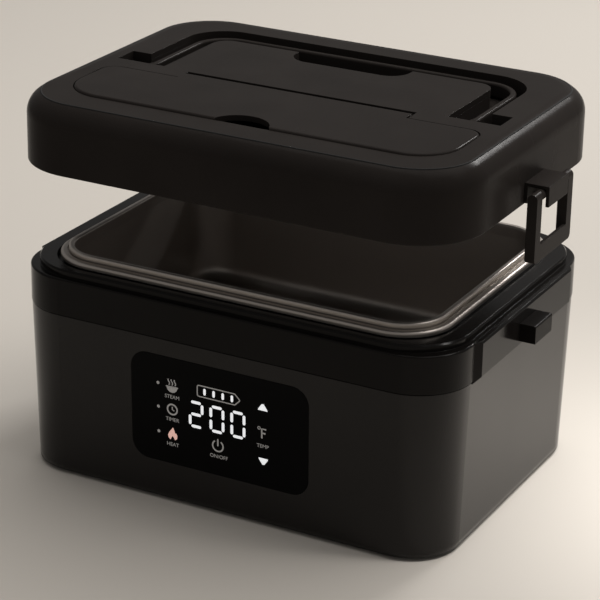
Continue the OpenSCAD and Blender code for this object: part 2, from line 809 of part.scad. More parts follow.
// Material over the top plate, which falls to the height of the seam at the front
module front_cut() {
    translate([0, 0, plate_top]) rotate([90, 0, 90]) linear_extrude(lid_w, center = true)
        polygon([[-fall_start, 0], [-fall_start, 1], [-plate_y - 1, 1], [-plate_y - 1, -edge_drop],
            [-plate_y, -edge_drop]]);
}

// Outline with a straight front and round back corners
module arch_rect(half, front, back, r) {
    translate([-half, front]) square([2 * half, back - r - front]);
    translate([-half + r, front]) square([2 * half - 2 * r, back - front]);
    for (x = [-1, 1]) translate([x * (half - r), back - r]) circle(r);
}

// Outline of the handle's groove, grown on both sides by a wall
module groove_outline(grow) {
    difference() {
        arch_rect(groove_half + grow, groove_front - grow, groove_back + grow,
            groove_outer_r + grow);
        arch_rect(groove_half - groove_w - grow, groove_front - grow - 1,
            groove_back - groove_w - grow, groove_inner_r - grow);
    }
    for (x = [-1, 1]) translate([x * (pocket_x + groove_half) / 2,
        (groove_front + pocket_end) / 2])
        square([pocket_x - groove_half + 2 * grow, pocket_end - groove_front + 2 * grow],
            center = true);
}

// Finger hollow in the back panel, in front of the groove
module hollow_outline(grow) {
    front = groove_back - groove_w - hollow_len;
    depth = hollow_len + groove_w;
    translate([0, front + depth / 2])
        round_rect(hollow_w + 2 * grow, depth - 2 + 2 * grow, hollow_r + grow);
}

// Outline of the cutlery cover without its tab
module flap_outline(grow) {
    w = flap_w + 2 * grow;
    front = -flap_front - grow;
    back = -flap_back + grow;
    fr = flap_front_r + grow;
    br = flap_back_r + grow;
    translate([-w / 2, front + fr]) square([w, back - br - front - fr]);
    translate([-w / 2 + fr, front]) square([w - 2 * fr, fr + tiny]);
    translate([-w / 2 + br, back - br - tiny]) square([w - 2 * br, br + tiny]);
    for (x = [-1, 1]) {
        translate([x * (w / 2 - fr), front + fr]) circle(fr);
        translate([x * (w / 2 - br), back - br]) circle(br);
    }
}

// Outline of the hinge tab
module tab_outline(grow, back) {
    front = -flap_back - 4;
    translate([-tab_half - grow, front]) square([2 * (tab_half + grow), back - front]);
}

// Outline of the finger notch
module notch_outline(r) {
    translate([0, -flap_front + notch_depth - notch_r]) circle(r);
}

// Carries a profile round the cover's outline, its x running out from the edge
module around_flap() {
    side_y = (-flap_front + flap_front_r - flap_back - flap_back_r) / 2;
    side_len = flap_front - flap_front_r - flap_back - flap_back_r;
    for (side = [0, 1]) mirror([side, 0, 0]) {
        translate([flap_w / 2 - flap_front_r, -flap_front + flap_front_r, 0]) rotate([0, 0, -90])
            rotate_extrude(angle = 90) translate([flap_front_r, 0]) children();
        translate([flap_w / 2 - flap_back_r, -flap_back - flap_back_r, 0])
            rotate_extrude(angle = 90) translate([flap_back_r, 0]) children();
        translate([flap_w / 2, side_y, 0]) rotate([90, 0, 0])
            linear_extrude(side_len, center = true) children();
    }
    translate([0, -flap_front, 0]) rotate([90, 0, -90])
        linear_extrude(flap_w - 2 * flap_front_r, center = true) children();
    translate([0, -flap_back, 0]) rotate([90, 0, 90])
        linear_extrude(flap_w - 2 * flap_back_r, center = true) children();
}

// Top plate of the lid, open over the handle's trough and the cutlery tray
module lid_top_plate() color(lid_black) difference() {
    union() {
        slab(2 * plate_x, 2 * plate_y, plate_r, plate_under, plate_top);
        at_four(lid_screw_x, lid_screw_y) translate([0, 0, liner_top])
            cylinder(h = plate_under - liner_top + tiny, r = lid_boss_r, $fn = pin_fn);
    }
    translate([0, 0, groove_floor]) linear_extrude(groove_depth + 1) {
        groove_outline(0);
        hollow_outline(0);
    }
    translate([0, 0, shelf_z]) linear_extrude(10) {
        flap_outline(moving_gap);
        tab_outline(moving_gap, slot_y);
    }
    front_cut();
    ring(lid_w / 2, lid_d / 2, lid_r) translate([0, plate_top]) corner_cut(lid_edge_r);
    for (side = [-1, 1])
        rod_x(side * tab_half - 7, side * tab_half + 7, hinge_y, hinge_z, hinge_pin_r);
    at_four(lid_screw_x, lid_screw_y) translate([0, 0, liner_top - 1])
        cylinder(h = lid_screw_len + 1, r = screw_r + running_gap, $fn = pin_fn);
}

// Trough under the plate that the handle folds into, with a shallow finger hollow
module handle_trough() color(lid_black) difference() {
    union() {
        translate([0, 0, groove_floor - tub_t])
            linear_extrude(plate_under - groove_floor + tub_t) groove_outline(tub_t);
        translate([0, 0, hollow_floor - tub_t])
            linear_extrude(plate_under - hollow_floor + tub_t) hollow_outline(tub_t);
    }
    translate([0, 0, groove_floor]) linear_extrude(groove_depth) groove_outline(0);
    translate([0, 0, hollow_floor]) linear_extrude(groove_depth) hollow_outline(0);
    for (side = [-1, 1])
        rod_x(side * pocket_x - 4, side * pocket_x + 4, pivot_y, pivot_z, handle_pin_r);
}

// Section of the liner: flange, ribs beside the seal and the dome's wall
module liner_profile() {
    out = -lid_wall - fit_gap;
    dome = -dome_in + liner_t;
    polygon([[out, flange_z], [out, flange_z + flange_t], [dome, flange_z + flange_t],
        [dome, liner_top - 1], [dome - 1, liner_top], [-dome_in - 2, liner_top],
        [-dome_in - 2, dome_z], [-dome_in - 1, dome_z], [-dome_in, dome_z - 1],
        [-dome_in, flange_z - 1], [dome, flange_z - 1], [dome, flange_z]]);
}

// Inner liner that closes the lid from below and forms its dome
module lid_liner() color("#2b2826") difference() {
    union() {
        ring(lid_w / 2, lid_d / 2, lid_r) liner_profile();
        slab(lid_w - 2 * dome_in - 2, lid_d - 2 * dome_in - 2, lid_r - dome_in - 1, dome_z, liner_top);
    }
    at_four(lid_screw_x, lid_screw_y) translate([0, 0, dome_z - 1])
        cylinder(h = liner_t + 2, r = screw_r + fit_gap, $fn = pin_fn);
}

// Sheet of insulation over the liner, under the handle's trough
module lid_insulation() color("#d8cfa8") {
    top = groove_floor - tub_t - fit_gap;
    half = plate_x - 12;
    back = lid_screw_y - 8;
    translate([-half, groove_front, liner_top])
        cube([2 * half, back - groove_front, top - liner_top]);
}

// Silicone seal on the liner's flange
module lid_seal() color("#8c8a86") ring(lid_w / 2, lid_d / 2, lid_r) {
    lip = 1.2;
    translate([-seal_in - seal_w, seal_z + lip]) square([seal_w, flange_z - seal_z - lip]);
    translate([-seal_in - seal_w / 2, seal_z + lip]) intersection() {
        circle(lip, $fn = pin_fn);
        translate([-lip, -lip]) square([2 * lip, lip + tiny]);
    }
}

// Four screws that hold the liner to the top plate
module lid_screws() color(steel) at_four(lid_screw_x, lid_screw_y)
    translate([0, 0, dome_z - screw_head_h]) {
        difference() {
            cylinder(h = screw_head_h, r = screw_head_r, $fn = pin_fn);
            for (turn = [0, 90]) rotate([0, 0, turn]) cube(screw_slot, center = true);
        }
        cylinder(h = screw_head_h + lid_screw_len, r = screw_r, $fn = pin_fn);
    }

// Tray for the cutlery under the plate: a rim with a shelf below the cover, and the tub
module cutlery_tray() color("#2b2826") difference() {
    union() {
        translate([0, 0, shelf_z - shelf_t]) linear_extrude(plate_under - shelf_z + shelf_t) {
            flap_outline(moving_gap + tub_t);
            tab_outline(8, slot_y + tub_t);
        }
        translate([0, 0, cutlery_floor]) linear_extrude(shelf_z - cutlery_floor)
            flap_outline(-shelf_in);
    }
    translate([0, 0, shelf_z]) linear_extrude(10) {
        flap_outline(moving_gap);
        tab_outline(moving_gap, slot_y);
    }
    translate([0, 0, cutlery_floor + cutlery_sheet]) linear_extrude(30)
        flap_outline(-shelf_in - cutlery_sheet);
}

// Two pins of the cutlery cover
module cutlery_hinge_pins() color(steel) for (side = [0, 1]) mirror([side, 0, 0])
    rod_x(tab_half - 6, tab_half + 7, hinge_y, hinge_z, hinge_pin_r);

// Hinged cover of the cutlery compartment, with a round edge and a finger notch
module cutlery_cover() color(lid_black) difference() {
    union() {
        difference() {
            translate([0, 0, flap_under]) linear_extrude(flap_t) flap_outline(0);
            around_flap() translate([0, flap_top]) corner_cut(flap_edge_r);
        }
        translate([0, 0, flap_under]) linear_extrude(flap_t) tab_outline(0, tab_y);
        rod_x(-tab_half, tab_half, hinge_y, hinge_z, knuckle_r);
        difference() {
            translate([0, 0, flap_under - 1.6]) linear_extrude(1.7) flap_outline(-4);
            translate([0, 0, flap_under - 3]) linear_extrude(3) flap_outline(-5.6);
        }
    }
    translate([0, 0, flap_under - 5]) linear_extrude(12) notch_outline(notch_r);
    for (side = [-1, 1])
        rod_x(side * tab_half - 6, side * tab_half + 6, hinge_y, hinge_z,
            hinge_pin_r + running_gap);
}

// Section of the handle's strap, standing on edge
module strap_profile() {
    r = 1.2;
    translate([strap_t / 2, 0]) round_rect(strap_t, strap_h, r, $fn = pin_fn);
}

// Folding carry handle: a strap bent to a U with two pivot bosses
module carry_handle() color(lid_black) difference() {
    bend = 16;
    inner = strap_half - strap_t;
    inner_back = strap_back - strap_t;
    union() {
        for (side = [0, 1]) mirror([side, 0, 0]) {
            translate([inner, inner_back - bend, pivot_z]) rotate([90, 0, 0])
                linear_extrude(inner_back - bend - pivot_y) strap_profile();
            translate([inner - bend, inner_back - bend, pivot_z])
                rotate_extrude(angle = 90) translate([bend, 0]) strap_profile();
            rod_x(inner, strap_half, pivot_y, pivot_z, strap_h / 2);
            rod_x(strap_half - tiny, pocket_x - 1.5, pivot_y, pivot_z, boss_r);
        }
        translate([0, inner_back, pivot_z]) rotate([90, 0, 90])
            linear_extrude(2 * (inner - bend), center = true) strap_profile();
    }
    for (side = [-1, 1])
        rod_x(side * pocket_x - 8, side * pocket_x + 8, pivot_y, pivot_z,
            handle_pin_r + running_gap);
}

// Two pins that carry the handle in the pockets' outer walls
module handle_pins() color(steel) for (side = [0, 1]) mirror([side, 0, 0])
    rod_x(pocket_x - 7.5, pocket_x + tub_t, pivot_y, pivot_z, handle_pin_r);

// ---------------------------------------------------------------- latches

// Hooked bracket on the lid's side that carries the latch pin
module latch_bracket() {
    wall_x = lid_w / 2;
    reach = pin_x + loop_t / 2 + 1.5;
    height = bracket_top - bracket_low;
    difference() {
        union() {
            rotate([90, 0, 0]) linear_extrude(bracket_w, center = true) {
                translate([wall_x, bracket_low]) square([bracket_t, height]);
                translate([wall_x, bracket_top - bracket_t])
                    square([reach - wall_x, bracket_t]);
                translate([reach - bracket_t, bracket_low]) square([bracket_t, height]);
                translate([pin_x - ear_r / 2, pin_z]) square([ear_r, bracket_top - pin_z - tiny]);
            }
            rod_y(-bracket_w / 2, bracket_w / 2, pin_x, pin_z, ear_r);
        }
        rod_y(-bracket_w, bracket_w, pin_x, pin_z, latch_pin_r);
    }
}
module latch_bracket_right() color(lid_black) latch_bracket();
module latch_bracket_left() color(lid_black) left() latch_bracket();

// Steel pins of the two latches, which end inside the loops' legs
module latch_pins() color(steel) for (side = [0, 1]) mirror([side, 0, 0])
    rod_y(-pin_half, pin_half, pin_x, pin_z, latch_pin_r);

// Latch loop: two legs on the pin and a thin bar that hooks under the catch
module latch_loop() {
    low = pin_z - loop_drop;
    outer = pin_x + loop_t / 2;
    difference() {
        union() {
            for (y = [-1, 1]) {
                translate([pin_x - loop_t / 2, y * (loop_w - leg_w) / 2 - leg_w / 2, low])
                    cube([loop_t, leg_w, loop_drop]);
                rod_y(min(y * loop_w / 2, y * (bracket_w / 2 + moving_gap)),
                    max(y * loop_w / 2, y * (bracket_w / 2 + moving_gap)), pin_x, pin_z, ear_r);
            }
            translate([bar_x, -loop_w / 2, low]) cube([outer - bar_x, loop_w, bar_h]);
        }
        rod_y(-pin_half - running_gap, pin_half + running_gap, pin_x, pin_z,
            latch_pin_r + running_gap);
        for (y = [0, 1]) mirror([0, y, 0]) translate([pin_x, loop_w / 2, low])
            rotate([90, 0, 90]) mirror([0, 1, 0])
                linear_extrude(loop_t + 2, center = true) corner_cut(2.5);
    }
}
module latch_loop_right() color(lid_black) latch_loop();
module latch_loop_left() color(lid_black) left() latch_loop();

outer_shell();
top_ring();
catch_right();
catch_left();
control_panel();
display_board();
led_display();
control_board();
heating_well();
heating_plate();
heating_element();
insulation_jacket();
temperature_sensor();
thermal_fuse();
battery_cells();
battery_holder();
bottom_cover();
bottom_screws();
rubber_feet();
charging_socket();
food_tray();
lid_shell();
lid_top_plate();
handle_trough();
lid_liner();
lid_insulation();
lid_seal();
lid_screws();
cutlery_tray();
cutlery_hinge_pins();
handle_pins();
latch_bracket_right();
latch_bracket_left();
latch_pins();
cutlery_cover();
carry_handle();
latch_loop_right();
latch_loop_left();
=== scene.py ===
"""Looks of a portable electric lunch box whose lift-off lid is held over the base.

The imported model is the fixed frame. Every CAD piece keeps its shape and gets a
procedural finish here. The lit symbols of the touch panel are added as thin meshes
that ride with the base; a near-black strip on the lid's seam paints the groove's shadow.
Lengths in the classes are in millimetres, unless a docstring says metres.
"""

import logging
import math
from dataclasses import dataclass
from enum import Enum
from typing import Iterable, Protocol, Sequence

import bmesh
import bpy
from mathutils import Matrix, Vector


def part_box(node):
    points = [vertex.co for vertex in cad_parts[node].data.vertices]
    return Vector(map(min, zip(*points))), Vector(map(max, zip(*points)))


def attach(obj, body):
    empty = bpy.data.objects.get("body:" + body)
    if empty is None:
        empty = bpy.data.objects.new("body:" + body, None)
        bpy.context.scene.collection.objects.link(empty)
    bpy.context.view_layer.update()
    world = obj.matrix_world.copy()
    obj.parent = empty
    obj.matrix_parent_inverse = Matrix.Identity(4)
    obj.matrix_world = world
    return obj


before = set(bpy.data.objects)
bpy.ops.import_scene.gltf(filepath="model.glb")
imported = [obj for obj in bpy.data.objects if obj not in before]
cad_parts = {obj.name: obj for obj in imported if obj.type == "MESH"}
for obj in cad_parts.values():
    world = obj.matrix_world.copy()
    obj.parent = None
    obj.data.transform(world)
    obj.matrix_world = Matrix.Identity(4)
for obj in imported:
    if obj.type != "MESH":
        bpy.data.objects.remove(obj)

LOG = logging.getLogger("lunch_box")
MM = 0.001
Colour = tuple[float, float, float]
Point = tuple[float, float]
Place = tuple[float, float, float]
Socket = bpy.types.NodeSocket
NOISE_USED = (0.3, 0.7)  # the values of a noise between which a tone or roughness changes
BEVEL_SAMPLES = 6
CAPITAL_SHARE = 0.73  # height of a capital as a share of the font's size
DISPLAY_SLOT = "display_light"
# slot name passed with the near-black seam strip, which is painted shade and not part of the seal
SEAM_SHADE_SLOT = "seal_silicone"
UP = Vector((0, 0, 1))


class Body(str, Enum):
    """The bodies that new pieces ride on."""

    BASE = "base"
    LID = "lid"


def show(thing: bpy.types.Object) -> None:
    """Links an object to the scene."""
    bpy.context.scene.collection.objects.link(thing)


# ------------------------------------------------------------------ finishes


class Finish(Protocol):
    """What every finish offers."""

    name: str

    def material(self) -> bpy.types.Material:
        """Builds the material."""


def shade(colour: Colour, factor: float) -> Colour:
    """Gives a colour made lighter or darker by a factor, up to white."""
    return tuple(min(1.0, channel * factor) for channel in colour)


class ShaderGraph:
    """A material's node tree with short calls for adding and joining nodes."""

    def __init__(self, name: str) -> None:
        """Starts a material with a Principled shader.

        Args:
            name: Name of the material.
        """
        self.material = bpy.data.materials.new(name)
        self.material.use_nodes = True
        self.tree = self.material.node_tree
        self.shader = self.tree.nodes["Principled BSDF"]

    def add(self, kind: str, **settings: object) -> bpy.types.Node:
        """Adds a node.

        Args:
            kind: Blender's class name of the node.
            **settings: Attributes to set on it.

        Returns:
            The new node.
        """
        node = self.tree.nodes.new(kind)
        for key, value in settings.items():
            setattr(node, key, value)
        return node

    def set(self, **inputs: object) -> None:
        """Sets the shader's own sockets, with spaces written as underscores.

        Args:
            **inputs: Socket names and values.
        """
        for key, value in inputs.items():
            self.shader.inputs[key.replace("_", " ")].default_value = value

    def link(self, source: Socket, target: Socket) -> None:
        """Joins two sockets."""
        self.tree.links.new(source, target)

    def place(self, scale: Sequence[float]) -> Socket:
        """Gives object coordinates, stretched along the axes.

        Args:
            scale: Factor along X, Y and Z.

        Returns:
            The socket with the coordinates.
        """
        coords = self.add("ShaderNodeTexCoord")
        mapping = self.add("ShaderNodeMapping")
        mapping.inputs["Scale"].default_value = scale
        self.link(coords.outputs["Object"], mapping.inputs["Vector"])
        return mapping.outputs["Vector"]

    def noise(
        self, size: float, detail: float = 3.0, stretch: Sequence[float] = (1, 1, 1)
    ) -> Socket:
        """Adds fractal noise.

        Args:
            size: Width of its largest blots in millimetres.
            detail: Number of finer octaves.
            stretch: Factor along X, Y and Z.

        Returns:
            The noise as a value of about 0 to 1.
        """
        node = self.add("ShaderNodeTexNoise")
        node.inputs["Scale"].default_value = 1 / (size * MM)
        node.inputs["Detail"].default_value = detail
        self.link(self.place(stretch), node.inputs["Vector"])
        return node.outputs["Fac"]

    def spread(self, value: Socket, low: float, high: float) -> Socket:
        """Maps the middle of a noise to a range.

        Args:
            value: The noise.
            low: Result at the low end of the values used.
            high: Result at the high end of the values used.

        Returns:
            The mapped value.
        """
        node = self.add("ShaderNodeMapRange")
        limits = dict(zip(("From Min", "From Max", "To Min", "To Max"), (*NOISE_USED, low, high)))
        for key, limit in limits.items():
            node.inputs[key].default_value = limit
        self.link(value, node.inputs["Value"])
        return node.outputs["Result"]

    def tint(self, value: Socket, dark: Colour, light: Colour) -> None:
        """Colours the shader between two tones.

        Args:
            value: The noise that mixes them.
            dark: Tone at the low end of the values used.
            light: Tone at the high end of the values used.
        """
        ramp = self.add("ShaderNodeValToRGB")
        first, last = ramp.color_ramp.elements
        first.position, last.position = NOISE_USED
        first.color, last.color = (*dark, 1), (*light, 1)
        self.link(value, ramp.inputs["Fac"])
        self.link(ramp.outputs["Color"], self.shader.inputs["Base Color"])

    def relief(self, heights: Iterable[tuple[Socket, float]], edge: float = 0.0) -> None:
        """Adds fine relief, and softens the edges of the mesh.

        Args:
            heights: Pairs of a height value and its depth in millimetres.
            edge: Radius of the edges in millimetres, or 0 for none.
        """
        last = None
        if edge:
            bevel = self.add("ShaderNodeBevel", samples=BEVEL_SAMPLES)
            bevel.inputs["Radius"].default_value = edge * MM
            last = bevel.outputs["Normal"]
        for value, depth in heights:
            bump = self.add("ShaderNodeBump")
            bump.inputs["Distance"].default_value = depth * MM
            self.link(value, bump.inputs["Height"])
            if last is not None:
                self.link(last, bump.inputs["Normal"])
            last = bump.outputs["Normal"]
        if last is not None:
            self.link(last, self.shader.inputs["Normal"])


@dataclass(frozen=True)
class MouldedPlastic:
    """Moulded plastic with a fine spark-eroded grain.

    Attributes:
        name: Name of the material.
        colour: Its colour.
        roughness: Its middle roughness.
        grain: Width of the grain in millimetres.
        depth: Depth of the grain in millimetres.
        edge: Radius of the edges in millimetres.
        shine: Level of the shader's highlights.
        cloud: Width of the clouds of tone in millimetres.
        lift: Lightest tone as a multiple of the colour.
        smear: Width of the smears of roughness in millimetres.
        sway: How far the roughness wanders from its middle.
    """

    name: str
    colour: Colour
    roughness: float = 0.26
    grain: float = 0.45
    depth: float = 0.012
    edge: float = 0.35
    shine: float = 0.2
    cloud: float = 38.0
    lift: float = 1.22
    smear: float = 14.0
    sway: float = 0.035

    def material(self) -> bpy.types.Material:
        """Builds the material."""
        graph = ShaderGraph(self.name)
        graph.set(Metallic=0.0, Specular_IOR_Level=self.shine)
        cloud = graph.noise(self.cloud, detail=4.0)
        graph.tint(cloud, self.colour, shade(self.colour, self.lift))
        smear = graph.noise(self.smear, detail=5.0, stretch=(1, 1, 0.4))
        rough = graph.spread(smear, self.roughness - self.sway, self.roughness + self.sway)
        graph.link(rough, graph.shader.inputs["Roughness"])
        graph.relief([(graph.noise(self.grain, detail=2.0), self.depth)], self.edge)
        return graph.material


@dataclass(frozen=True)
class GlossPanel:
    """Black glossy cover with faint finger smears.

    Attributes:
        name: Name of the material.
        colour: Its colour.
        shine: Level of the shader's highlights.
        roughness: Lowest and highest roughness.
        smear: Width of the smears in millimetres.
        lift: Lightest tone as a multiple of the colour.
        wave: Width of the surface's slow waves in millimetres.
        depth: Depth of the waves in millimetres.
        edge: Radius of the edges in millimetres.
    """

    name: str
    colour: Colour
    shine: float = 0.06
    roughness: tuple[float, float] = (0.12, 0.2)
    smear: float = 9.0
    lift: float = 1.3
    wave: float = 60.0
    depth: float = 0.01
    edge: float = 0.3

    def material(self) -> bpy.types.Material:
        """Builds the material."""
        graph = ShaderGraph(self.name)
        graph.set(Metallic=0.0, Specular_IOR_Level=self.shine)
        smear = graph.noise(self.smear, detail=5.0, stretch=(1, 0.5, 1))
        graph.tint(smear, self.colour, shade(self.colour, self.lift))
        graph.link(graph.spread(smear, *self.roughness), graph.shader.inputs["Roughness"])
        graph.relief([(graph.noise(self.wave, detail=1.0), self.depth)], self.edge)
        return graph.material


@dataclass(frozen=True)
class BrushedMetal:
    """Metal with fine parallel brush marks.

    Attributes:
        name: Name of the material.
        colour: Its colour.
        roughness: Its middle roughness.
        along: Factors that stretch the marks along X, Y and Z.
        depth: Depth of the marks in millimetres.
        mark: Width of the marks in millimetres.
        sway: How far the roughness wanders below and above its middle.
        cloud: Width of the clouds of tone in millimetres.
        drop: Darkest tone as a share of the colour.
        edge: Radius of the edges in millimetres.
    """

    name: str
    colour: Colour
    roughness: float = 0.3
    along: Sequence[float] = (0.02, 0.02, 1.0)
    depth: float = 0.002
    mark: float = 0.3
    sway: tuple[float, float] = (0.03, 0.04)
    cloud: float = 30.0
    drop: float = 0.95
    edge: float = 0.15

    def material(self) -> bpy.types.Material:
        """Builds the material."""
        graph = ShaderGraph(self.name)
        graph.set(Metallic=1.0)
        marks = graph.noise(self.mark, stretch=self.along)
        graph.tint(graph.noise(self.cloud), shade(self.colour, self.drop), self.colour)
        below, above = self.sway
        rough = graph.spread(marks, self.roughness - below, self.roughness + above)
        graph.link(rough, graph.shader.inputs["Roughness"])
        graph.relief([(marks, self.depth)], self.edge)
        return graph.material


@dataclass(frozen=True)
class SoftMatter:
    """Rubber, silicone or felt: matte, with a fine uneven surface.

    Attributes:
        name: Name of the material.
        colour: Its colour.
        roughness: Its roughness.
        grain: Width of the grain in millimetres.
        depth: Depth of the grain in millimetres.
        sheen: Strength of the soft sheen.
        cloud: Width of the clouds of tone in millimetres.
        lift: Lightest tone as a multiple of the colour.
    """

    name: str
    colour: Colour
    roughness: float = 0.75
    grain: float = 0.8
    depth: float = 0.05
    sheen: float = 0.1
    cloud: float = 6.0
    lift: float = 1.3

    def material(self) -> bpy.types.Material:
        """Builds the material."""
        graph = ShaderGraph(self.name)
        graph.set(Metallic=0.0, Roughness=self.roughness, Sheen_Weight=self.sheen)
        cloud = graph.noise(self.cloud, detail=5.0)
        graph.tint(cloud, self.colour, shade(self.colour, self.lift))
        graph.relief([(graph.noise(self.grain, detail=4.0), self.depth)])
        return graph.material


@dataclass(frozen=True)
class LitPrint:
    """Symbols of the panel that are lit from behind.

    Attributes:
        name: Name of the material.
        colour: Colour of the light.
        strength: Brightness of the light.
        roughness: Its roughness.
        grain: Width of the grain in millimetres.
        depth: Depth of the grain in millimetres.
    """

    name: str
    colour: Colour
    strength: float
    roughness: float = 0.35
    grain: float = 0.8
    depth: float = 0.004

    def material(self) -> bpy.types.Material:
        """Builds the material."""
        graph = ShaderGraph(self.name)
        graph.set(Base_Color=(*self.colour, 1), Roughness=self.roughness)
        graph.set(Emission_Color=(*self.colour, 1), Emission_Strength=self.strength)
        graph.relief([(graph.noise(self.grain, detail=2.0), self.depth)])
        return graph.material


WARM_BLACK: Colour = (0.0085, 0.0074, 0.0068)
RING_BLACK: Colour = (0.0055, 0.0048, 0.0044)
LID_BLACK: Colour = (0.0192, 0.0165, 0.0151)
INNER_BLACK: Colour = (0.008, 0.0074, 0.007)


@dataclass(frozen=True)
class Palette:
    """Every finish of the lunch box."""

    base: MouldedPlastic = MouldedPlastic("base_plastic", WARM_BLACK, 0.16, shine=0.25)
    ring: MouldedPlastic = MouldedPlastic("ring_plastic", RING_BLACK, 0.16, shine=0.1)
    catch: MouldedPlastic = MouldedPlastic("catch_plastic", RING_BLACK, 0.3, shine=0.04)
    lid: MouldedPlastic = MouldedPlastic("lid_plastic", LID_BLACK, 0.24, shine=0.018)
    inner: MouldedPlastic = MouldedPlastic(
        "inner_plastic", INNER_BLACK, 0.5, grain=0.6, depth=0.02
    )
    panel: GlossPanel = GlossPanel("panel_gloss", (0.0007, 0.0007, 0.0008))
    tray: BrushedMetal = BrushedMetal("tray_steel", (0.45, 0.412, 0.378), 0.4)
    well: BrushedMetal = BrushedMetal("well_coating", (0.035, 0.034, 0.034), 0.42)
    plate: BrushedMetal = BrushedMetal("plate_aluminium", (0.62, 0.62, 0.63), 0.4)
    element: BrushedMetal = BrushedMetal("element_steel", (0.30, 0.27, 0.25), 0.45)
    pin: BrushedMetal = BrushedMetal(
        "pin_steel", (0.09, 0.088, 0.085), 0.34, along=(1.0, 0.2, 0.2)
    )
    brass: BrushedMetal = BrushedMetal("fuse_brass", (0.66, 0.49, 0.22), 0.35)
    felt: SoftMatter = SoftMatter(
        "insulation_felt", (0.62, 0.57, 0.46), 0.95, grain=0.5, depth=0.25, sheen=0.3
    )
    board: GlossPanel = GlossPanel("circuit_board", (0.02, 0.13, 0.06))
    cell: GlossPanel = GlossPanel("cell_sleeve", (0.05, 0.22, 0.36))
    foot: SoftMatter = SoftMatter("foot_rubber", (0.014, 0.014, 0.014))
    seal: SoftMatter = SoftMatter(
        "seal_silicone", (0.24, 0.235, 0.23), 0.55, grain=0.6, depth=0.01, sheen=0.2
    )
    # painted shade: near-black matte finish of the strip in the lid's seam, standing in for the
    # groove's shadow
    bead: SoftMatter = SoftMatter(
        "painted_seam_shade", (0.002, 0.002, 0.002), 0.9, grain=0.6, depth=0.01, sheen=0.0
    )
    white_light: LitPrint = LitPrint("white_light", (0.9, 0.92, 0.95), 0.6)
    dim_light: LitPrint = LitPrint("dim_light", (0.42, 0.41, 0.4), 0.16)
    pink_light: LitPrint = LitPrint("pink_light", (0.9, 0.55, 0.47), 0.42)


class Workshop:
    """Makes each finish once and puts it on pieces."""

    def __init__(self) -> None:
        """Starts with an empty store of materials."""
        self.store: dict[str, bpy.types.Material] = {}

    def material(self, finish: Finish) -> bpy.types.Material:
        """Gives the material of a finish, made at its first use.

        Args:
            finish: The finish.

        Returns:
            The material.
        """
        if finish.name not in self.store:
            self.store[finish.name] = finish.material()
        return self.store[finish.name]

    def dress(self, node: str, finish: Finish) -> None:
        """Puts a finish on a CAD piece.

        Args:
            node: Name of the piece.
            finish: Its finish.
        """
        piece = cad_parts[node]
        for place in piece.material_slots:
            place.material = self.material(finish)
        LOG.info("dressed %s with %s", node, finish.name)

    def add(self, name: str, mesh: bpy.types.Mesh, finish: Finish, body: Body, slot: str) -> None:
        """Adds a new piece that rides on a body.

        Args:
            name: Name of the piece.
            mesh: Its mesh, in metres, in place.
            finish: Its finish.
            body: Body that it rides on.
            slot: Material slot of the record that it belongs to; not used.
        """
        piece = bpy.data.objects.new(name, mesh)
        show(piece)
        mesh.materials.append(self.material(finish))
        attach(piece, body.value)
        LOG.info("made %s on %s", name, body.value)


# ------------------------------------------------------------------ outlines


class Drawing:
    """Flat symbols in a panel's plane, gathered into one thin mesh."""

    def __init__(self, plane: Matrix, thickness: float) -> None:
        """Starts an empty drawing.

        Args:
            plane: Takes millimetres to the right, up and out of the panel to metres in the frame.
            thickness: How far the symbols stand out, in millimetres.
        """
        self.plane = plane
        self.thickness = thickness
        self.mesh = bmesh.new()

    def outline(self, points: Sequence[Point]) -> None:
        """Adds a filled shape.

        Args:
            points: Its corners, counter-clockwise.
        """
        back, front = (
            [self.mesh.verts.new(self.plane @ Vector((x, y, height))) for x, y in points]
            for height in (0, self.thickness)
        )
        self.mesh.faces.new(front)
        self.mesh.faces.new(list(reversed(back)))
        for i in range(len(points)):
            j = (i + 1) % len(points)
            self.mesh.faces.new((back[i], back[j], front[j], front[i]))

    def disc(self, centre: Point, radius: float, steps: int = 24) -> None:
        """Adds a filled circle of so many corners."""
        self.outline(arc(centre, radius, 0, 360 - 360 / steps, steps))

    def stroke(self, points: Sequence[Point], width: float, closed: bool = False) -> None:
        """Adds a line of even width along points.

        Args:
            points: Places along the line.
            width: Its width.
            closed: Whether the last point joins the first.
        """
        count = len(points)
        sides: list[tuple[Point, Point]] = []
        for i, (x, y) in enumerate(points):
            before = points[i - 1] if i or closed else points[i]
            after = points[(i + 1) % count] if i < count - 1 or closed else points[i]
            run = Vector((after[0] - before[0], after[1] - before[1])).normalized() * width / 2
            sides.append(((x - run.y, y + run.x), (x + run.y, y - run.x)))
        for i in range(count if closed else count - 1):
            (a, b), (c, d) = sides[i], sides[(i + 1) % count]
            self.outline([b, d, c, a])

    def finish(self, name: str) -> bpy.types.Mesh:
        """Turns the drawing into a mesh.

        Args:
            name: Name of the mesh.

        Returns:
            The mesh.
        """
        data = bpy.data.meshes.new(name)
        bmesh.ops.recalc_face_normals(self.mesh, faces=self.mesh.faces)
        self.mesh.to_mesh(data)
        self.mesh.free()
        return data


def arc(centre: Point, radius: float, start: float, end: float, steps: int) -> list[Point]:
    """Gives points along an arc.

    Args:
        centre: Its centre.
        radius: Its radius.
        start: First angle in degrees.
        end: Last angle in degrees.
        steps: Number of points.

    Returns:
        The points, from start to end.
    """
    turn = [math.radians(start + (end - start) * i / (steps - 1)) for i in range(steps)]
    return [(centre[0] + radius * math.cos(a), centre[1] + radius * math.sin(a)) for a in turn]


def capsule(start: Point, end: Point, width: float, steps: int = 5) -> list[Point]:
    """Gives the outline of a bar with round ends.

    Args:
        start: Centre of one end.
        end: Centre of the other end.
        width: Width of the bar.
        steps: Points round each end.

    Returns:
        The outline, counter-clockwise.
    """
    angle = math.degrees(math.atan2(end[1] - start[1], end[0] - start[0]))
    far_end = arc(end, width / 2, angle - 90, angle + 90, steps)
    return far_end + arc(start, width / 2, angle + 90, angle + 270, steps)


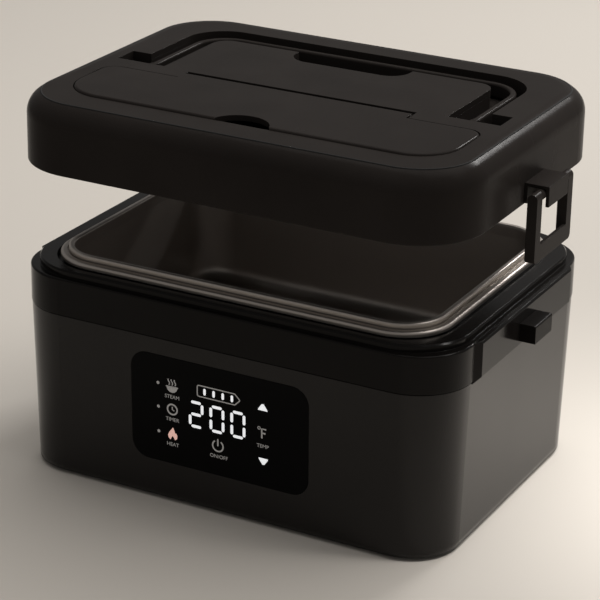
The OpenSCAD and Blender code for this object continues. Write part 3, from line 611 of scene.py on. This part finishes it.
# ------------------------------------------------------------------ the touch panel


class Segment(Enum):
    """The seven bars of a digit: start and end as shares of half its width and height."""

    TOP = ((-1, 1), (1, 1))
    UPPER_RIGHT = ((1, 1), (1, 0))
    LOWER_RIGHT = ((1, 0), (1, -1))
    BOTTOM = ((-1, -1), (1, -1))
    LOWER_LEFT = ((-1, 0), (-1, -1))
    UPPER_LEFT = ((-1, 1), (-1, 0))
    MIDDLE = ((-1, 0), (1, 0))


DIGIT_BARS: dict[str, tuple[Segment, ...]] = {
    "0": tuple(bar for bar in Segment if bar is not Segment.MIDDLE),
    "2": (Segment.TOP, Segment.UPPER_RIGHT, Segment.MIDDLE, Segment.LOWER_LEFT, Segment.BOTTOM),
}


@dataclass(frozen=True)
class TouchPanel:
    """The glossy panel with its lit symbols, placed from the panel's middle.

    Attributes:
        palette: The finishes.
        digits: The number shown.
        digit_half: Half the width and height of a digit, to the middle of its bars.
        digit_pitch: Distance from digit to digit.
        digits_at: Middle of the number.
        bar_width: Width of a digit's bars.
        bar_gap: Gap that a bar leaves at each of its ends.
        battery_at: Middle of the battery symbol.
        battery_half: Half its width and height.
        battery_tip: Length of its sloped end.
        battery_corner: Radius of its corners.
        cell_first: Distance of its first bar from its middle.
        cell_pitch: Distance from bar to bar.
        cell_half: Half the height of a bar, without its round ends.
        cell_width: Width of a bar.
        left_x: Column of the symbols on the left.
        dot_x: Column of the dots beside them.
        dot_radius: Radius of a dot.
        rows: Heights of the symbols on the left.
        right_x: Column of the symbols on the right.
        up_at: Middle of the upper arrow, from the right column.
        down_at: Middle of the lower arrow, from the right column.
        power_at: Middle of the standby symbol.
        thickness: How far the symbols stand out.
        line: Width of a thin line.
        bold: Width of a bold line.
        letter: Height of the captions' capitals.
    """

    palette: Palette
    digits: str = "200"
    digit_half: Point = (3.35, 6.4)
    digit_pitch: float = 11.5
    digits_at: Point = (-0.9, 1.3)
    bar_width: float = 1.5
    bar_gap: float = 0.62
    battery_at: Point = (0.0, 14.4)
    battery_half: Point = (11.6, 2.9)
    battery_tip: float = 3.0
    battery_corner: float = 0.9
    cell_first: float = -7.6
    cell_pitch: float = 5.0
    cell_half: float = 1.1
    cell_width: float = 1.35
    left_x: float = -25.7
    dot_x: float = -33.5
    dot_radius: float = 0.8
    rows: tuple[float, float, float] = (13.6, 0.9, -12.4)
    right_x: float = 24.1
    up_at: Point = (0.0, 13.6)
    down_at: Point = (0.3, -14.6)
    power_at: Point = (-0.5, -12.6)
    thickness: float = 0.06
    line: float = 0.55
    bold: float = 0.8
    letter: float = 2.0

    def plane(self) -> Matrix:
        """Finds the panel's outer face in the frame.

        Returns:
            Matrix from millimetres on the face to metres in the frame.
        """
        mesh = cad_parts["control_panel"].data
        lo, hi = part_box("control_panel")
        facing = -0.9  # a face with less than this along Y looks to the front
        faces = [face for face in mesh.polygons if face.normal.y < facing]
        area = sum(face.area for face in faces)
        normal = sum((face.normal * face.area for face in faces), Vector()) / area
        centre = sum((face.center * face.area for face in faces), Vector()) / area
        centre.x = (lo.x + hi.x) / 2
        out = normal.normalized()
        right = Vector((1, 0, 0))
        up = out.cross(right)
        axes = Matrix((right, up, out)).transposed().to_4x4()
        return Matrix.Translation(centre) @ axes @ Matrix.Scale(MM, 4)

    def draw_digits(self, drawing: Drawing) -> None:
        """Draws the seven-segment number."""
        half_x, half_y = self.digit_half
        first = self.digits_at[0] - self.digit_pitch * (len(self.digits) - 1) / 2
        for i, digit in enumerate(self.digits):
            at_x, at_y = first + i * self.digit_pitch, self.digits_at[1]
            for bar in DIGIT_BARS[digit]:
                (x0, y0), (x1, y1) = bar.value
                start = Vector((at_x + x0 * half_x, at_y + y0 * half_y))
                end = Vector((at_x + x1 * half_x, at_y + y1 * half_y))
                inset = (end - start).normalized() * (self.bar_width / 2 + self.bar_gap)
                drawing.outline(capsule(tuple(start + inset), tuple(end - inset), self.bar_width))

    def draw_battery(self, bright: Drawing, dim: Drawing) -> None:
        """Draws the battery's outline and its four bars."""
        x, y = self.battery_at
        corner = self.battery_corner
        left, right = x - self.battery_half[0], x + self.battery_half[0]
        low, high = y - self.battery_half[1] + corner, y + self.battery_half[1] - corner
        outline = (
            arc((left + corner, low), corner, 180, 270, 4)
            + arc((right - self.battery_tip, low), corner, 270, 300, 3)
            + arc((right - corner, y), corner, -20, 20, 3)
            + arc((right - self.battery_tip, high), corner, 60, 90, 3)
            + arc((left + corner, high), corner, 90, 180, 4)
        )
        dim.stroke(outline, self.line, closed=True)
        for i in range(4):
            cell_x = x + self.cell_first + self.cell_pitch * i
            ends = (cell_x, y - self.cell_half), (cell_x, y + self.cell_half)
            bright.outline(capsule(*ends, self.cell_width))

    def draw_steam(self, drawing: Drawing, at: Point) -> None:
        """Draws a bowl with three wisps of steam."""
        x, y = at
        pitch, sway, turn, foot, rise = 1.7, 0.45, 1.1, 0.2, 0.62
        for i in (-1, 0, 1):
            wisp = [
                (x + pitch * i + sway * math.sin(t * turn), y + foot + rise * t) for t in range(6)
            ]
            drawing.stroke(wisp, self.line)
        rim_y, bowl_radius, rim_half, rim_width = y - 0.7, 3.0, 3.1, 0.7
        drawing.outline(arc((x, rim_y), bowl_radius, 180, 360, 12))
        drawing.outline(capsule((x - rim_half, rim_y), (x + rim_half, rim_y), rim_width))

    def draw_clock(self, drawing: Drawing, at: Point) -> None:
        """Draws a clock's rim and its two hands."""
        x, y = at
        radius = 2.7
        hands = [(0.0, 1.5), (0.0, 0.0), (1.1, -0.6)]
        drawing.stroke(arc(at, radius, 0, 345, 24), self.bold, closed=True)
        drawing.stroke([(x + px, y + py) for px, py in hands], self.line)

    def draw_flame(self, drawing: Drawing, at: Point) -> None:
        """Draws a flame with a hollow heart, its points taken from its middle."""
        x, y = at
        outer = [(0.2, 3.7), (-0.8, 2.3), (-1.9, 0.9), (-2.6, -0.7), (-2.3, -2.2), (-1.2, -3.0)]
        inner = [(-0.7, -1.9), (0.0, -0.9), (0.7, -1.9)]
        back = [(1.3, -3.0), (2.4, -2.1), (2.6, -0.5), (1.9, 0.9), (1.4, 0.5), (1.0, 2.0)]
        drawing.outline([(x + px, y + py) for px, py in outer + inner + back])

    def draw_power(self, drawing: Drawing, at: Point) -> None:
        """Draws a standby symbol."""
        x, y = at
        radius, bar_foot, bar_top, width = 2.9, 0.2, 3.4, 0.75
        drawing.stroke(arc(at, radius, 125, 415, 22), width)
        drawing.outline(capsule((x, y + bar_foot), (x, y + bar_top), width))

    def draw_arrow(self, drawing: Drawing, at: Point, up: int) -> None:
        """Draws a triangle that points up (1) or down (-1)."""
        x, y = at
        corners = [(-2.6, -1.5), (2.6, -1.5), (2.3, -0.6), (0.5, 1.9), (-0.5, 1.9), (-2.3, -0.6)]
        points = [(x + px, y + up * py) for px, py in corners]
        drawing.outline(points if up > 0 else list(reversed(points)))

    def draw_fahrenheit(self, drawing: Drawing) -> None:
        """Draws the sign for degrees with an F."""
        x = self.right_x
        ring_at, ring_radius, ring_width = (x - 2.0, 2.6), 0.7, 0.4
        stem_x, top_end, bar_end = x - 0.5, x + 1.9, x + 1.5
        top_y, bar_y, foot_y = 2.4, 0.2, -2.6
        drawing.stroke(arc(ring_at, ring_radius, 0, 320, 12), ring_width, closed=True)
        drawing.stroke([(top_end, top_y), (stem_x, top_y), (stem_x, foot_y)], self.bold)
        drawing.stroke([(stem_x, bar_y), (bar_end, bar_y)], self.bold)

    def caption(self, shop: Workshop, plane: Matrix, words: str, at: Point) -> None:
        """Adds a short word under a symbol.

        Args:
            shop: Makes the piece.
            plane: Plane of the panel.
            words: The word.
            at: Middle of its foot.
        """
        curve = bpy.data.curves.new("word", "FONT")
        curve.body, curve.align_x = words, "CENTER"
        curve.size, curve.extrude = self.letter / CAPITAL_SHARE, self.thickness / 2
        letters = bpy.data.objects.new("word", curve)
        show(letters)
        bpy.context.view_layer.update()
        mesh = bpy.data.meshes.new_from_object(letters)
        bpy.data.objects.remove(letters)
        mesh.transform(plane @ Matrix.Translation((*at, self.thickness / 2)))
        name = "caption_" + "".join(letter for letter in words.lower() if letter.isalnum())
        shop.add(name, mesh, self.palette.dim_light, Body.BASE, DISPLAY_SLOT)

    def build(self, shop: Workshop) -> None:
        """Dresses the panel and adds its symbols."""
        shop.dress("control_panel", self.palette.panel)
        plane = self.plane()
        steam_y, clock_y, flame_y = self.rows
        bright, dim, pink = (Drawing(plane, self.thickness) for _ in range(3))
        self.draw_digits(bright)
        self.draw_battery(bright, dim)
        self.draw_arrow(bright, (self.right_x + self.up_at[0], self.up_at[1]), 1)
        self.draw_arrow(bright, (self.right_x + self.down_at[0], self.down_at[1]), -1)
        self.draw_steam(dim, (self.left_x, steam_y))
        self.draw_clock(dim, (self.left_x, clock_y))
        self.draw_flame(pink, (self.left_x, flame_y))
        self.draw_power(dim, self.power_at)
        for row in self.rows:
            dim.disc((self.dot_x, row), self.dot_radius)
        self.draw_fahrenheit(dim)
        for name, sheet, light in (
            ("bright", bright, self.palette.white_light),
            ("dim", dim, self.palette.dim_light),
            ("pink", pink, self.palette.pink_light),
        ):
            shop.add(f"panel_symbols_{name}", sheet.finish(name), light, Body.BASE, DISPLAY_SLOT)
        for words, at in (
            ("STEAM", (self.left_x, steam_y - 6.9)),
            ("TIMER", (self.left_x, clock_y - 6.3)),
            ("HEAT", (self.left_x, flame_y - 6.4)),
            ("TEMP", (self.right_x, -7.6)),
            ("ON/OFF", (0.0, -19.2)),
        ):
            self.caption(shop, plane, words, at)


# ------------------------------------------------------------------ the lid's seam


@dataclass(frozen=True)
class PaintedSeamShade:
    """Near-black round strip in the seam between the lid's shell and its top plate: painted shade
    that stands in for the shadow in the seam's groove.

    Attributes:
        finish: Its finish.
        corner: Radius of the seam's corners in millimetres, seen from above.
        radius: Radius of the bead's section in millimetres.
        outset: How far its middle lies outside the plate, in millimetres.
        sunk: How far its middle lies below the plate's edge, in millimetres.
        steps: Points round each corner.
        sides: Points round the bead's section.
    """

    finish: SoftMatter
    corner: float = 28.0
    radius: float = 0.55
    outset: float = 0.1
    sunk: float = 0.27
    steps: int = 24
    sides: int = 8

    def path(self) -> list[Vector]:
        """Finds the seam on the plate's mesh.

        Returns:
            Its points in millimetres, counter-clockwise seen from above.
        """
        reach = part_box("lid_top_plate")[1] / MM
        edge_band = 0.05  # a vertex this near to the plate's front or back lies on its edge
        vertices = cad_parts["lid_top_plate"].data.vertices
        edge = [v.co.z for v in vertices if abs(v.co.y) > (reach.y - edge_band) * MM]
        height = max(edge) / MM - self.sunk
        half_x, half_y = (side + self.outset - self.corner for side in reach.xy)
        centres = ((half_x, -half_y), (half_x, half_y), (-half_x, half_y), (-half_x, -half_y))
        return [
            Vector((*point, height))
            for quarter, centre in enumerate(centres, start=-1)
            for point in arc(centre, self.corner, 90 * quarter, 90 * quarter + 90, self.steps)
        ]

    def build(self, shop: Workshop) -> None:
        """Sweeps a round section along the seam."""
        path = self.path()
        turns = [2 * math.pi * k / self.sides for k in range(self.sides)]
        mesh = bmesh.new()
        rings = []
        for i, point in enumerate(path):
            run = (path[(i + 1) % len(path)] - path[i - 1]).normalized()
            out = run.cross(UP)
            section = [out * math.cos(a) + UP * math.sin(a) for a in turns]
            rings.append([mesh.verts.new((point + side * self.radius) * MM) for side in section])
        for i, ring in enumerate(rings):
            after = rings[(i + 1) % len(rings)]
            for k in range(self.sides):
                j = (k + 1) % self.sides
                mesh.faces.new((ring[k], ring[j], after[j], after[k])).smooth = True
        bmesh.ops.recalc_face_normals(mesh, faces=mesh.faces)
        data = bpy.data.meshes.new("lid_seam_painted_shade")
        mesh.to_mesh(data)
        mesh.free()
        # the near-black strip is painted shade for the shadow in the seam's groove
        shop.add("lid_seam_painted_shade", data, self.finish, Body.LID, SEAM_SHADE_SLOT)


# ------------------------------------------------------------------ sub-assemblies


@dataclass(frozen=True)
class Assembly:
    """A group of CAD pieces and their finishes.

    Attributes:
        name: Name of the group.
        finishes: Finish of each piece.
    """

    name: str
    finishes: dict[str, Finish]

    def build(self, shop: Workshop) -> None:
        """Dresses every piece of the group."""
        for node, finish in self.finishes.items():
            shop.dress(node, finish)
        LOG.info("%s is dressed", self.name)


def base_unit(palette: Palette) -> Assembly:
    """Gives the base's outer pieces."""
    return Assembly(
        "base",
        {
            "outer_shell": palette.base,
            "bottom_cover": palette.base,
            "top_ring": palette.ring,
            "catch_right": palette.catch,
            "catch_left": palette.catch,
            "bottom_screws": palette.pin,
            "rubber_feet": palette.foot,
            "charging_socket": palette.inner,
        },
    )


def heating_unit(palette: Palette) -> Assembly:
    """Gives the heating pieces and the electronics inside the base."""
    return Assembly(
        "heating",
        {
            "heating_well": palette.well,
            "heating_plate": palette.plate,
            "heating_element": palette.element,
            "insulation_jacket": palette.felt,
            "temperature_sensor": palette.plate,
            "thermal_fuse": palette.brass,
            "battery_cells": palette.cell,
            "battery_holder": palette.inner,
            "control_board": palette.board,
            "display_board": palette.board,
            "led_display": palette.dim_light,
        },
    )


def lid_unit(palette: Palette) -> Assembly:
    """Gives the lid with what is fixed to it."""
    return Assembly(
        "lid",
        {
            "lid_shell": palette.lid,
            "lid_top_plate": palette.lid,
            "handle_trough": palette.lid,
            "latch_bracket_right": palette.lid,
            "latch_bracket_left": palette.lid,
            "lid_liner": palette.inner,
            "cutlery_tray": palette.inner,
            "lid_insulation": palette.felt,
            "lid_seal": palette.seal,
            "lid_screws": palette.pin,
            "cutlery_hinge_pins": palette.pin,
            "handle_pins": palette.pin,
            "latch_pins": palette.pin,
        },
    )


def moving_pieces(palette: Palette) -> Assembly:
    """Gives the pieces that swing on the lid, and the tray."""
    return Assembly(
        "moving pieces",
        {
            "cutlery_cover": palette.lid,
            "carry_handle": palette.lid,
            "latch_loop_right": palette.lid,
            "latch_loop_left": palette.lid,
            "food_tray": palette.tray,
        },
    )


# ------------------------------------------------------------------ studio


@dataclass(frozen=True)
class Lamp:
    """A soft area lamp.

    Attributes:
        name: Name of the lamp.
        place: Where it hangs, in metres.
        aim: What it faces, in metres.
        size: Width and height in metres.
        power: Power in watts.
        colour: Colour of the light.
        beam: Angle of its beam in degrees.
    """

    name: str
    place: Place
    aim: Place
    size: Point
    power: float
    colour: Colour
    beam: float = 180

    def hang(self) -> None:
        """Puts the lamp in the scene."""
        light = bpy.data.lights.new(self.name, "AREA")
        light.shape, light.size, light.size_y = "RECTANGLE", *self.size
        light.energy, light.color = self.power, self.colour
        light.spread = math.radians(self.beam)
        lamp = bpy.data.objects.new(self.name, light)
        show(lamp)
        lamp.location = self.place
        lamp.rotation_mode = "QUATERNION"
        lamp.rotation_quaternion = (Vector(self.aim) - Vector(self.place)).to_track_quat("-Z", "Y")


LAMPS = (
    Lamp("top_softbox", (0.1, 0.35, 1.5), (0, 0, 0.1), (1.6, 1.2), 15.0, (1.0, 0.97, 0.93)),
    Lamp(
        "floor_light",
        (0.36, 0.03, 0.4),
        (0.19, 0.06, 0),
        (0.12, 0.12),
        0.183,
        (1.0, 0.97, 0.94),
        beam=56,
    ),
    Lamp("edge_strip", (0.3, 1.5, 1.15), (0.1, 0, 0.18), (0.5, 0.12), 14.0, (1.0, 0.98, 0.96)),
)


@dataclass(frozen=True)
class Studio:
    """Floor, lamps, world and camera.

    Attributes:
        floor_colour: Colour of the floor.
        floor_size: Side of the floor in metres.
        floor_cloud: Width of the floor's clouds of tone.
        floor_drop: Darkest tone of the floor as a share of its colour.
        world_colour: Colour of the sky.
        world_strength: Brightness of the sky.
        target: Point that the camera is set up round.
        azimuth: Degrees that the camera stands to the right of the front.
        elevation: Degrees that it looks down.
        distance: Its distance from the target.
        roll: Degrees that it is turned about its line of sight.
        sensor: Width of its sensor.
        lens: Its focal length.
        shift: Shift of the picture as shares of the sensor's width.
        clip: Nearest and furthest distance that it sees, in metres.
    """

    floor_colour: Colour = (0.62, 0.583, 0.534)
    floor_size: float = 12.0
    floor_cloud: float = 420.0
    floor_drop: float = 0.985
    world_colour: Colour = (1.0, 0.97, 0.94)
    world_strength: float = 0.26
    target: Place = (2.53, 0.0, 90.35)
    azimuth: float = 27.54
    elevation: float = 22.02
    distance: float = 1214.0
    roll: float = 1.17
    sensor: float = 36.0
    lens: float = 145.76
    shift: Point = (-0.01486, -0.02208)
    clip: tuple[float, float] = (0.05, 50.0)

    def floor(self) -> None:
        """Lays a plain pale floor."""
        bpy.ops.mesh.primitive_plane_add(size=self.floor_size, location=(0, 0, 0))
        ground = bpy.context.object
        ground.name = "floor"
        graph = ShaderGraph("floor_paint")
        graph.set(Roughness=0.8, Specular_IOR_Level=0.2)
        cloud = graph.noise(self.floor_cloud, detail=2.0)
        graph.tint(cloud, shade(self.floor_colour, self.floor_drop), self.floor_colour)
        ground.data.materials.append(graph.material)

    def world(self) -> None:
        """Sets an even, dim sky."""
        world = bpy.data.worlds.new("sky")
        world.use_nodes = True
        sky = world.node_tree.nodes["Background"]
        sky.inputs["Color"].default_value = (*self.world_colour, 1)
        sky.inputs["Strength"].default_value = self.world_strength
        bpy.context.scene.world = world

    def camera(self) -> None:
        """Sets the camera."""
        data = bpy.data.cameras.new("camera")
        data.sensor_width, data.lens = self.sensor, self.lens
        data.shift_x, data.shift_y = self.shift
        data.clip_start, data.clip_end = self.clip
        camera = bpy.data.objects.new("camera", data)
        show(camera)
        az, el, roll = (math.radians(v) for v in (self.azimuth, self.elevation, self.roll))
        back = Vector((math.sin(az) * math.cos(el), -math.cos(az) * math.cos(el), math.sin(el)))
        right = (-back).cross(UP).normalized()
        up = right.cross(-back)
        tilt_right = right * math.cos(roll) + up * math.sin(roll)
        tilt_up = up * math.cos(roll) - right * math.sin(roll)
        axes = Matrix((tilt_right, tilt_up, back)).transposed().to_4x4()
        place = (Vector(self.target) + back * self.distance) * MM
        camera.matrix_world = Matrix.Translation(place) @ axes
        bpy.context.scene.camera = camera

    def build(self) -> None:
        """Sets up the whole studio."""
        self.floor()
        self.world()
        for lamp in LAMPS:
            lamp.hang()
        self.camera()
        bpy.context.scene.view_settings.view_transform = "Standard"
        LOG.info("studio is ready")


def main() -> None:
    """Builds the classes in order."""
    logging.basicConfig(level=logging.INFO, format="%(name)s: %(message)s")
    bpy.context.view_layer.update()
    palette, shop = Palette(), Workshop()
    for group in (base_unit, heating_unit, lid_unit, moving_pieces):
        group(palette).build(shop)
    TouchPanel(palette).build(shop)
    PaintedSeamShade(palette.bead).build(shop)
    Studio().build()


if __name__ == "__main__":
    main()
